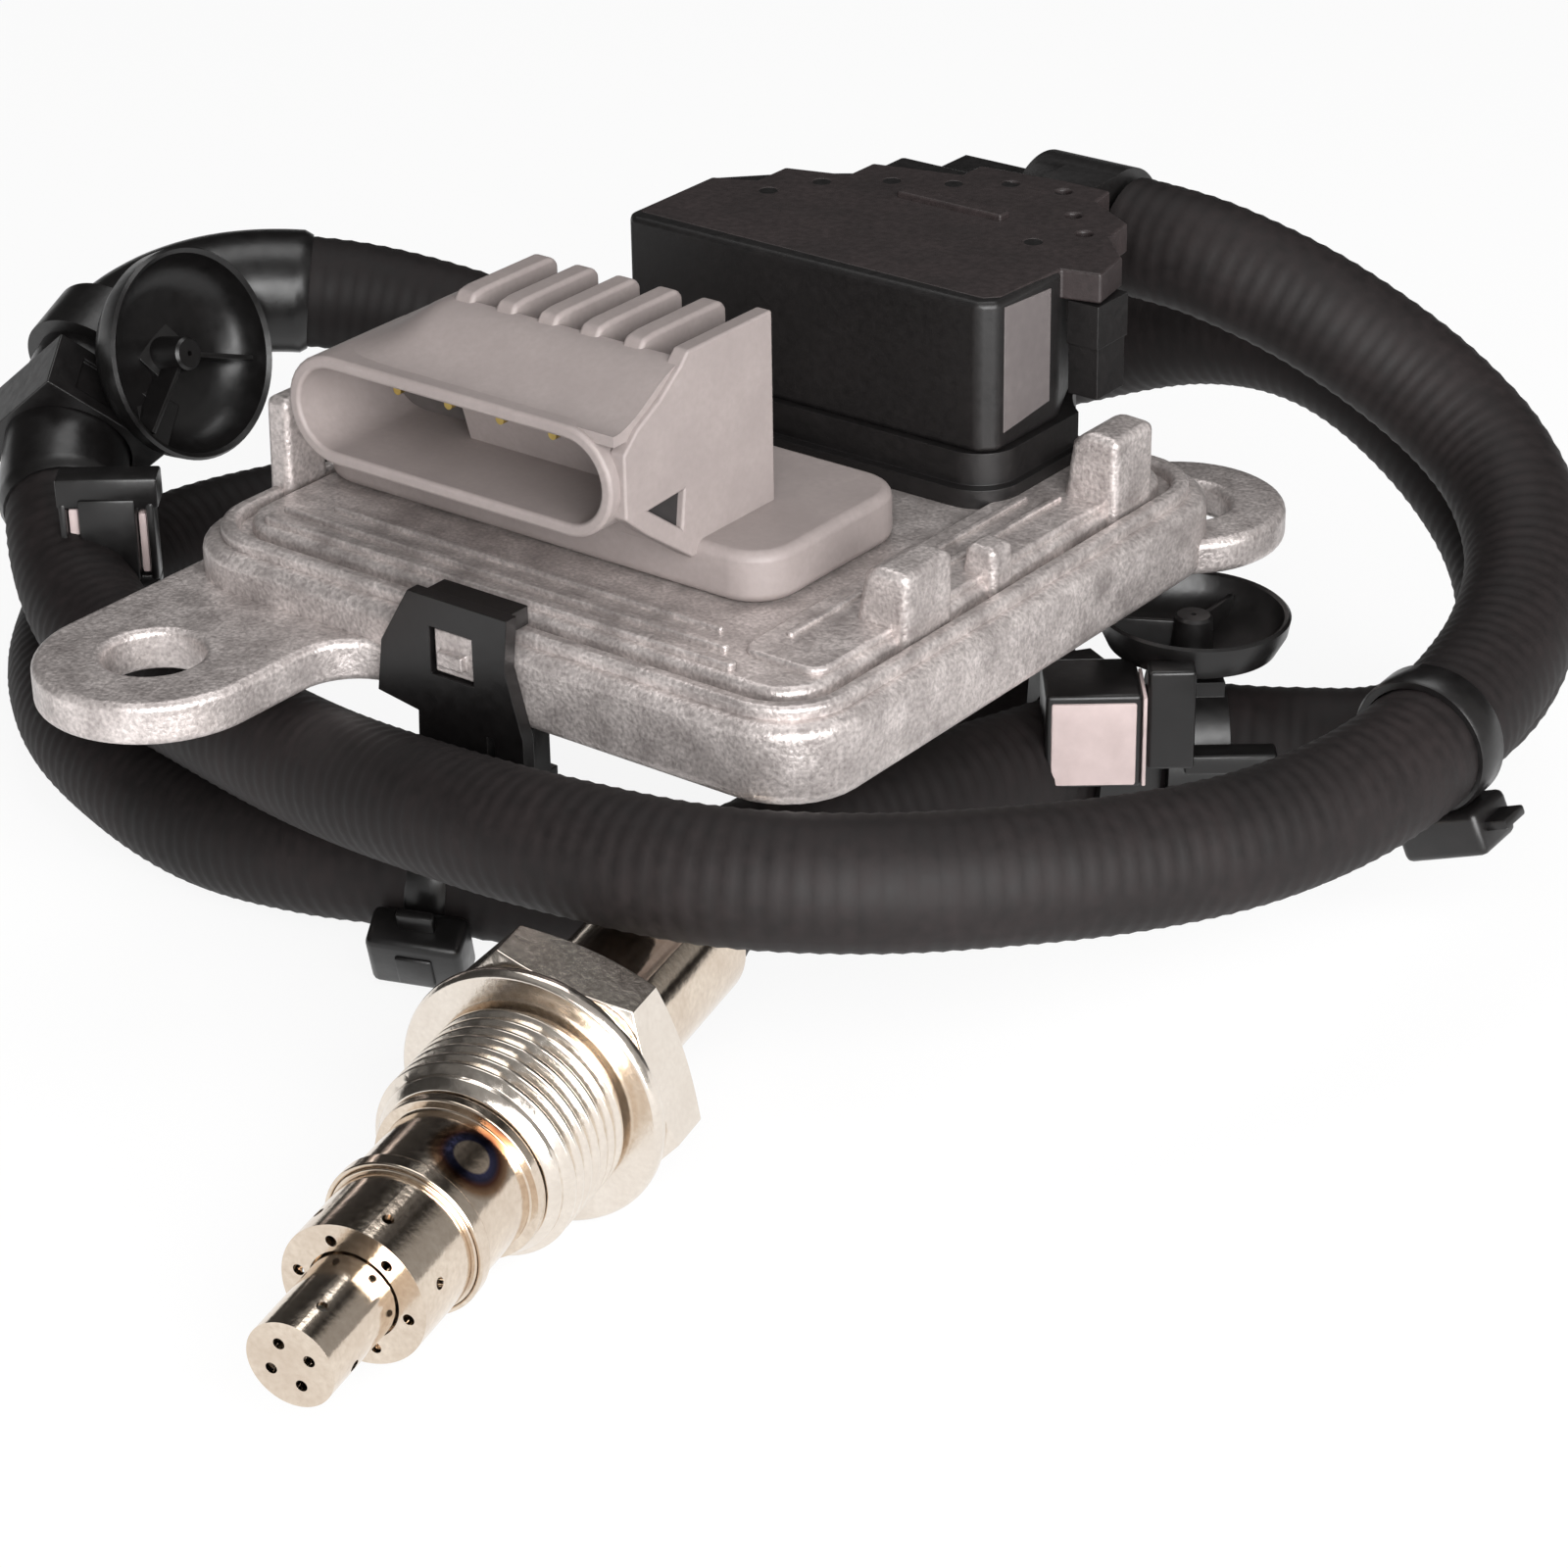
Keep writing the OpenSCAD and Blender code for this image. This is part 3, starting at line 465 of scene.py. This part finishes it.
world = bpy.data.worlds.new("studio")
bpy.context.scene.world = world
world.use_nodes = True
studio_node, studio_link = world.node_tree.nodes.new, world.node_tree.links.new
lit_by = world.node_tree.nodes["Background"]
lit_by.inputs["Strength"].default_value = studio_strength
seen = studio_node("ShaderNodeBackground")
seen.inputs["Color"].default_value = (1, 1, 1, 1)
seen.inputs["Strength"].default_value = 1
sky_way = studio_node("ShaderNodeTexCoord")
sky_parts = studio_node("ShaderNodeSeparateXYZ")
sky_angle = studio_node("ShaderNodeMath")
sky_angle.operation = "ARCTAN2"
sky_turn = studio_node("ShaderNodeMapRange")
sky_turn.inputs["From Min"].default_value = -pi
sky_turn.inputs["From Max"].default_value = pi
screens = studio_node("ShaderNodeValToRGB")
fill_ramp(screens, [(at, (level, level * 0.985, level * 0.965)) for at, level in screen_levels])
overhead = studio_node("ShaderNodeMapRange")
overhead.inputs["From Min"].default_value = overhead_from
overhead.inputs["From Max"].default_value = overhead_full
dome = studio_node("ShaderNodeMix")
dome.data_type = "RGBA"
dome.inputs[7].default_value = (0.8, 0.79, 0.78, 1)
sky_path = studio_node("ShaderNodeLightPath")
either = studio_node("ShaderNodeMixShader")
studio_link(sky_way.outputs["Generated"], sky_parts.inputs[0])
studio_link(sky_parts.outputs["Y"], sky_angle.inputs[0])
studio_link(sky_parts.outputs["X"], sky_angle.inputs[1])
studio_link(sky_angle.outputs[0], sky_turn.inputs["Value"])
studio_link(sky_turn.outputs[0], screens.inputs[0])
studio_link(sky_parts.outputs["Z"], overhead.inputs["Value"])
studio_link(overhead.outputs[0], dome.inputs[0])
studio_link(screens.outputs[0], dome.inputs[6])
studio_link(dome.outputs[2], lit_by.inputs["Color"])
studio_link(sky_path.outputs["Is Camera Ray"], either.inputs[0])
studio_link(lit_by.outputs[0], either.inputs[1])
studio_link(seen.outputs[0], either.inputs[2])
studio_link(either.outputs[0], world.node_tree.nodes["World Output"].inputs["Surface"])

for name, at, size, watts in (
    ("above", (-0.1, 0.15, 0.6), (0.35, 0.3), 0.9),
    ("right_front", (0.5, -0.36, 0.26), (0.6, 0.55), 10),
):
    lamp_data = bpy.data.lights.new(name, "AREA")
    lamp_data.shape = "RECTANGLE"
    lamp_data.size, lamp_data.size_y = size
    lamp_data.energy = watts
    lamp = bpy.data.objects.new(name, lamp_data)
    lamp.location = at
    lamp.rotation_euler = (Vector((0, 0, 0.03)) - Vector(at)).to_track_quat("-Z", "Y").to_euler()
    bpy.context.scene.collection.objects.link(lamp)

bm = bmesh.new()
bmesh.ops.create_grid(bm, x_segments=1, y_segments=1, size=floor_size)
floor_piece = object_of(bm, "table_top")
floor_finish = bpy.data.materials.new("white_table")
floor_finish.use_nodes = True
floor_node, floor_link = floor_finish.node_tree.nodes.new, floor_finish.node_tree.links.new
matt = floor_finish.node_tree.nodes["Principled BSDF"]
matt.inputs["Base Color"].default_value = (0.93, 0.93, 0.93, 1)
matt.inputs["Roughness"].default_value = 0.9
glow = floor_node("ShaderNodeEmission")
glow.inputs["Color"].default_value = (1, 1, 1, 1)
glow.inputs["Strength"].default_value = 1
floor_path = floor_node("ShaderNodeLightPath")
seen_by, seen_too, share = (floor_node("ShaderNodeMath") for _ in range(3))
seen_by.use_clamp = True
seen_too.use_clamp = True
share.operation = "MULTIPLY"
share.inputs[1].default_value = floor_white_share
floor_mix = floor_node("ShaderNodeMixShader")
floor_link(floor_path.outputs["Is Camera Ray"], seen_by.inputs[0])
floor_link(floor_path.outputs["Is Glossy Ray"], seen_by.inputs[1])
floor_link(seen_by.outputs[0], seen_too.inputs[0])
floor_link(floor_path.outputs["Is Transmission Ray"], seen_too.inputs[1])
floor_link(seen_too.outputs[0], share.inputs[0])
floor_link(share.outputs[0], floor_mix.inputs[0])
floor_link(matt.outputs[0], floor_mix.inputs[1])
floor_link(glow.outputs[0], floor_mix.inputs[2])
floor_link(floor_mix.outputs[0], floor_finish.node_tree.nodes["Material Output"].inputs["Surface"])
floor_piece.data.materials.append(floor_finish)


# Housing casting
# A die-cast aluminium box in three steps with two mounting ears, posts along
# its edges and low ridges on its top, bead-blasted, with a plate under it.
cast = finish("cast_aluminium", srgb(116, 108, 106), srgb(238, 229, 226), scale=2300, rough=0.25, spread=0.26,
              depth=0.34, cloud=1.85, metallic=0.6)


def slab(name, outlines, low, high, edge, material, along="z", segments=3, angle=40):
    """A plate of closed outlines in mm, holes after the outer one, between two heights on an axis."""
    bm = bmesh.new()
    edges = []
    for outline in outlines:
        verts = [bm.verts.new({"z": in_frame(a, b, low), "y": in_frame(a, low, b), "x": in_frame(low, a, b)}[along])
                 for a, b in outline]
        edges += [bm.edges.new((verts[i], verts[(i + 1) % len(verts)])) for i in range(len(verts))]
    if len(outlines) > 1:
        filled = bmesh.ops.triangle_fill(bm, use_beauty=True, use_dissolve=False, edges=edges)["geom"]
        faces = [f for f in filled if isinstance(f, bmesh.types.BMFace)]
    else:
        faces = [bm.faces.new(bm.verts[:])]
    away = {"z": (0, 0, 1), "y": (0, 1, 0), "x": (1, 0, 0)}[along]
    raised = bmesh.ops.extrude_face_region(bm, geom=faces, use_keep_orig=True)["geom"]
    raised_verts = [v for v in raised if isinstance(v, bmesh.types.BMVert)]
    bmesh.ops.translate(bm, vec=Vector(away) * (high - low) / 1000, verts=raised_verts)
    bmesh.ops.recalc_face_normals(bm, faces=bm.faces)
    piece = object_of(bm, name, material)
    if edge:
        round_edges(piece, edge, segments, angle)
    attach(piece, "sensor")
    return piece


def arc(x, y, r, start, end, n):
    """Points of an arc, between two angles in degrees."""
    angles = [radians(start + (end - start) * i / n) for i in range(n + 1)]
    return [(x + r * cos(t), y + r * sin(t)) for t in angles]


def rounded(x0, x1, y0, y1, r, n=8):
    """A rectangle with round corners."""
    return (arc(x1 - r, y0 + r, r, -90, 0, n) + arc(x1 - r, y1 - r, r, 0, 90, n)
            + arc(x0 + r, y1 - r, r, 90, 180, n) + arc(x0 + r, y0 + r, r, 180, 270, n))


def circle(x, y, r, n=40):
    return arc(x, y, r, 0, 360, n)[:-1]


casting_wall = slab("casting_wall", [rounded(-42, 39, -14, 61, 8.5)], 30.05, 38.4, 1.5, cast, segments=5)
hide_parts("housing_casting")
slab("casting_rim", [rounded(-40.3, 37.3, -12.3, 59.3, 7.4), rounded(-38.6, 35.6, -10.6, 57.6, 6)], 37.5, 39.7, 0.6,
     cast, segments=4)
slab("casting_deck", [rounded(-37.4, 34.4, -9.2, 56.4, 5)], 37, 40, 0.9, cast, segments=4)
front_ear = ([(-42, -4), (-42, -13), (-42, -21), (-42, -28.5)] + arc(-30, -28.5, 12, 180, 360, 32)[1:]
             + arc(-12, -20, 6, 180, 90, 10) + [(-12, -4), (-24, -4), (-34, -4)])
slab("front_ear", [front_ear, circle(-30, -28.5, 5)], 30.02, 34.5, 1.1, cast, segments=5)
slab("rear_ear", [circle(31.5, 62, 11, 56), circle(31.5, 62, 5)], 30.02, 34, 1, cast, segments=4)
for name, outline, low, high, edge, along in (
    ("tab_front", [(28.6, 38), (35.3, 38), (35.3, 46.4), (31.4, 46.6), (30.2, 45.6)], 7, 15, 0.9, "y"),
    ("tab_middle", [(30.6, 38), (35.2, 38), (35, 43.6), (31.6, 43.6)], 22, 25.6, 0.8, "y"),
    ("tab_rear", [(28.4, 38), (35.3, 38), (35.3, 47.8), (31.4, 48), (29.8, 46.6)], 43.2, 50.4, 0.9, "y"),
    ("tab_left", [(-0.2, 38), (6, 38), (5.6, 49.4), (0.2, 49.4)], -40.8, -37.8, 0.9, "x"),
    ("tab_left_rear", [(40, 38), (48, 38), (47.5, 47), (40.5, 47)], -40.8, -37.8, 0.9, "x"),
):
    slab(name, [outline], low, high, edge, cast, along=along, segments=4)
slab("deck_step_right", [rounded(24, 33.6, -4.5, 54, 2, 5)], 39.5, 40.7, 0.45, cast)
for k, (x0, x1, y0, y1, top) in enumerate((
    (-34, 26, -8.2, -6.9, 40.75), (-34, 23, -5.2, -4.2, 40.6), (-30, 20, -2, -1.2, 40.5),
    (26.2, 27, 0, 40, 41.1), (29, 29.8, 15, 42, 41.1),
)):
    ridge = rounded(x0, x1, y0, y1, min(x1 - x0, y1 - y0) * 0.45, 4)
    slab(f"deck_ridge_{k}", [ridge], 39.6, top, 0.25, cast, segments=2)
softened("base_plate", 0.2, cast)


# Header
# A moulded socket of light grey nylon: a flange on the casting, a mouth with
# rounded ends that faces forward, and five ribs over its back.
grey = finish("light_grey_nylon", srgb(128, 119, 117), srgb(151, 141, 138), scale=1500, rough=0.46, spread=0.14,
              depth=0.06, cloud=1.3)
# A black plate in the end wall's pocket: painted shade where the pocket lies in shadow.
shade_paint_pocket = finish("painted_shade_in_pocket", srgb(24, 21, 21), srgb(38, 34, 34), rough=0.7)
# A darker copy of the grey nylon at the back of the mouth: painted shade deep in the socket.
shade_paint_socket = finish("grey_nylon_painted_shade", srgb(70, 65, 64), srgb(95, 88, 86), rough=0.6)
mouth_left, mouth_right, mouth_middle, mouth_r = -23.55, 6.25, 54.45, 5.75
roof_rise, roof_under = 4.3, 1.2
rib_width = 2.5


def stadium(inset, n=16):
    """The mouth's outline, drawn in by an inset."""
    r = mouth_r - inset
    return arc(mouth_right, mouth_middle, r, -90, 90, n) + arc(mouth_left, mouth_middle, r, 90, 270, n)


def mouth_top(x):
    """The height of the mouth's outline over x."""
    return mouth_middle + sqrt(max(0, mouth_r ** 2 - max(0, mouth_left - x) ** 2))


def ease(t):
    t = max(0, min(1, t))
    return t * t * (3 - 2 * t)


def roof_height(x, y):
    """The roof rises from the mouth to the ribs, and falls off to the left."""
    return mouth_top(x) - 0.1 + roof_rise * ease((y + 7.2) / 10.8) * ease((x + 25.5) / 9)


flange = slab("header_flange", [rounded(-38, 21, 3.8, 28, 5)], 40.01, 45.5, 1.1, grey,
              segments=4)
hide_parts("header_shroud")
header_foot = [(3.8, 44), (16.25, 44), (16.25, 60), (1, 56), (3, 49)]
end_wall = [(-6.6, 51.4), (-6.6, 58), (-4.4, 60), (-1, 61.8), (2.2, 64.2), (3.4, 65.4), (16.5, 65.4), (16.5, 44),
            (3.2, 44), (-3.6, 48.9)]
end_wall_pocket = [(-3.1, 51.2), (2.3, 51.5), (1.8, 47.6)]
shade_plate_outline = [(-3.9, 51.7), (2.8, 52), (2.2, 46.6)]
rib = [(1.8, 60), (2.4, 63.6), (3.6, 65.2), (5, 65.4), (15.6, 65.4), (16.4, 64.6), (16.4, 60)]
for name, outlines, low, high, edge, material, along in (
    ("header_mouth", [stadium(0), stadium(1.4)], -8, 6.2, 0.45, grey, "y"),
    ("header_back", [stadium(0.05)], 6, 16.1, 0.4, grey, "y"),
    # A plate of painted shade at the back of the mouth.
    ("header_floor", [stadium(1.45)], 5.6, 6.1, 0, shade_paint_socket, "y"),
    ("header_foot", [header_foot], -15.1, 11.9, 0.3, grey, "x"),
    ("header_end_wall", [end_wall, end_wall_pocket], 10.7, 12.6, 0.3, grey, "x"),
    # A plate of painted shade in the end wall's pocket.
    ("header_pocket_floor", [shade_plate_outline], 11.3, 11.8, 0, shade_paint_pocket, "x"),
):
    slab(name, outlines, low, high, edge, material, along=along)
for k, x in enumerate((-15.4, -10.1, -4.8, 0.5, 5.9)):
    slab(f"header_rib_{k}", [rib], x - rib_width / 2, x + rib_width / 2, 0.5, grey, along="x",
         segments=4)
for name, x0, x1, y0, y1 in (("front", -28.6, 12, -7.4, 3.6), ("left", -28.6, -16.3, 3.5, 16.3)):
    bm = bmesh.new()
    bmesh.ops.create_grid(bm, x_segments=40, y_segments=24, size=0.5)
    for v in bm.verts:
        x, y = x0 + (v.co.x + 0.5) * (x1 - x0), y0 + (v.co.y + 0.5) * (y1 - y0)
        v.co = in_frame(x, y, roof_height(x, y))
    lowered = bmesh.ops.extrude_face_region(bm, geom=bm.faces[:], use_keep_orig=True)["geom"]
    for v in lowered:
        if isinstance(v, bmesh.types.BMVert):
            v.co.z = (mouth_top(v.co.x * 1000 - housing_middle) - roof_under) / 1000
    bmesh.ops.recalc_face_normals(bm, faces=bm.faces)
    roof = object_of(bm, "header_roof_" + name, grey)
    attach(roof, "sensor")


# Cable connector
# A black moulded body on a skirt, with a lid that carries dimples and a
# locking bar, a grey patch of painted light on its right face and the cable's outlet.
# The lid and the bar are a paler copy of the black nylon: painted light on the top.
black = finish("black_nylon", srgb(12, 11, 11), srgb(25, 22, 22), scale=1100, rough=0.36, spread=0.2, depth=0.1)
# Paler than the black nylon, for the lid and locking bar: painted light on the connector's top.
top_light_paint = finish("black_nylon_painted_top_light", srgb(32, 27, 27), srgb(56, 47, 47), scale=1300, rough=0.42, spread=0.15,
                     depth=0.16)
# Grey for a patch on the right face: painted light where the lamp falls on that side.
side_light_paint = finish("grey_painted_side_light", srgb(84, 78, 78), srgb(104, 98, 97), scale=900, rough=0.5, spread=0.1,
                     depth=0.05)
shell_outline = [(-23, 38.4), (-21.8, 37.2), (22.4, 37.2), (24, 38.6), (24, 49.6), (20.5, 57), (14, 60), (13.4, 69.5),
                 (-10, 69.5), (-10, 63), (-17, 58), (-23, 52)]
shell = slab("connector_shell", [shell_outline], 45.5, 61.68, 0.7, black, segments=4, angle=25)
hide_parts("connector_body")
lid_outline = [(-22, 39), (-22.6, 39.6), (-22.6, 52), (-18, 54), (-18, 59), (-11, 61), (-11, 65.5), (-1, 68),
               (-1, 71.5), (9, 72.6), (15, 72.6), (15.5, 69), (22, 65.2), (22.4, 61), (27, 56.4), (28, 51), (23.8, 50),
               (23.4, 40), (22, 38.6)]
dimple_r = 0.85
dimples = [circle(x, y, dimple_r, 20) for x, y in (
    (-15, 52), (-12, 57.5), (-6, 62), (0, 65), (5, 68.5), (11, 69.6), (16, 64), (20, 60), (17, 55))]
lid = slab("connector_lid", [lid_outline] + dimples, 58.5, 61.74, 0.3, top_light_paint)
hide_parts("connector_cover")
patch_outline = [(39.6, 47.4), (47.8, 48.2), (47.8, 60.4), (39.6, 60.9)]
# A grey patch of painted light on the connector's right face.
slab("right_face_painted_light", [patch_outline], 23.9, 24.12, 0.05, side_light_paint, along="x")
softened("connector_skirt", 0.6, black)
softened("connector_side_block", 0.4, black)
softened("cable_outlet", 0.6, black)
softened("locking_bar", 0.3, top_light_paint)


# Retaining clip
# A black nylon clip that hooks over the casting's front edge, with the small
# metal catch that shows in its window. It is pushed on from the front.
softened("retaining_clip", 0.2, clip_black)
softened("clip_catch", 0.2, cast)


# Probe
# A turned screw fitting with its seal washer, and the body, ring, tubes and
# sleeve of tempered steel, with a blued heat mark where the body is welded.
steel = finish("turned_steel", srgb(225, 214, 202), srgb(246, 238, 228), scale=1800, rough=0.1, spread=0.16,
               depth=0.06, metallic=1.0)
warm_steel, spotted_steel = (
    finish(name, srgb(206, 188, 170), srgb(244, 232, 216), scale=1600, rough=0.08, spread=0.12, depth=0.05,
           metallic=1.0)
    for name in ("tempered_steel", "heat_marked_steel"))
spot_middle = (0.03737, -0.06106, 0.01837)
spot_r = 0.0042
spot_tints = (
    (0, (1, 0.97, 0.93)), (0.38, (0.9, 0.88, 0.86)), (0.43, (0.1, 0.12, 0.3)), (0.56, (0.06, 0.07, 0.16)),
    (0.68, (0.16, 0.08, 0.06)), (0.84, (0.5, 0.36, 0.26)), (1, (1, 1, 1)),
)
spot_node, spot_link = spotted_steel.node_tree.nodes.new, spotted_steel.node_tree.links.new
spot_place = spot_node("ShaderNodeTexCoord")
spot_away = spot_node("ShaderNodeVectorMath")
spot_away.operation = "DISTANCE"
spot_away.inputs[1].default_value = spot_middle
spot_span = spot_node("ShaderNodeMapRange")
spot_span.inputs["From Max"].default_value = spot_r
spot_tint = spot_node("ShaderNodeValToRGB")
fill_ramp(spot_tint, spot_tints)
spot_mix = spot_node("ShaderNodeMix")
spot_mix.data_type = "RGBA"
spot_mix.blend_type = "MULTIPLY"
spot_mix.inputs[0].default_value = 1
spot_colour = spotted_steel.node_tree.nodes["Principled BSDF"].inputs["Base Color"]
spot_link(spot_place.outputs["Object"], spot_away.inputs[0])
spot_link(spot_away.outputs["Value"], spot_span.inputs["Value"])
spot_link(spot_span.outputs[0], spot_tint.inputs[0])
spot_link(spot_colour.links[0].from_socket, spot_mix.inputs[6])
spot_link(spot_tint.outputs[0], spot_mix.inputs[7])
spot_link(spot_mix.outputs[2], spot_colour)
for name, width, material, slot in (
    ("screw_fitting", 0.15, steel, "bright_steel"),
    ("seal_washer", 0.2, steel, "bright_steel"),
    ("sensor_body", 0.2, spotted_steel, "bright_steel"),
    ("weld_ring", 0.2, warm_steel, "bright_steel"),
    ("outer_protection_tube", 0.1, warm_steel, "warm_steel"),
    ("inner_protection_tube", 0.1, warm_steel, "warm_steel"),
    ("rear_sleeve", 0.2, warm_steel, "warm_steel"),
):
    softened(name, width, material)


# Board, pins, ceramic and grommet
# What sits inside: a lacquered board and its chips, plated pins in the header,
# the probe's fired ceramic element and bush, and the rubber at its rear end.
board_green = finish("board_lacquer", srgb(20, 70, 40), srgb(30, 95, 55), rough=0.3)
chip_black = finish("chip_resin", srgb(22, 22, 23), srgb(40, 40, 42), rough=0.6)
gold = finish("contact_plating", srgb(190, 165, 90), srgb(215, 190, 120), rough=0.25, metallic=1.0)
white_ceramic = finish("fired_ceramic", srgb(225, 220, 210), srgb(240, 236, 228), rough=0.6)
rubber = finish("grommet_rubber", srgb(28, 26, 26), srgb(45, 42, 42), rough=0.6)
for name, material in (
    ("circuit_board", board_green), ("board_parts", chip_black), ("header_pins", gold),
    ("ceramic_element", white_ceramic), ("ceramic_bush", white_ceramic), ("rear_grommet", rubber),
):
    nodes[name].data.materials.clear()
    nodes[name].data.materials.append(material)
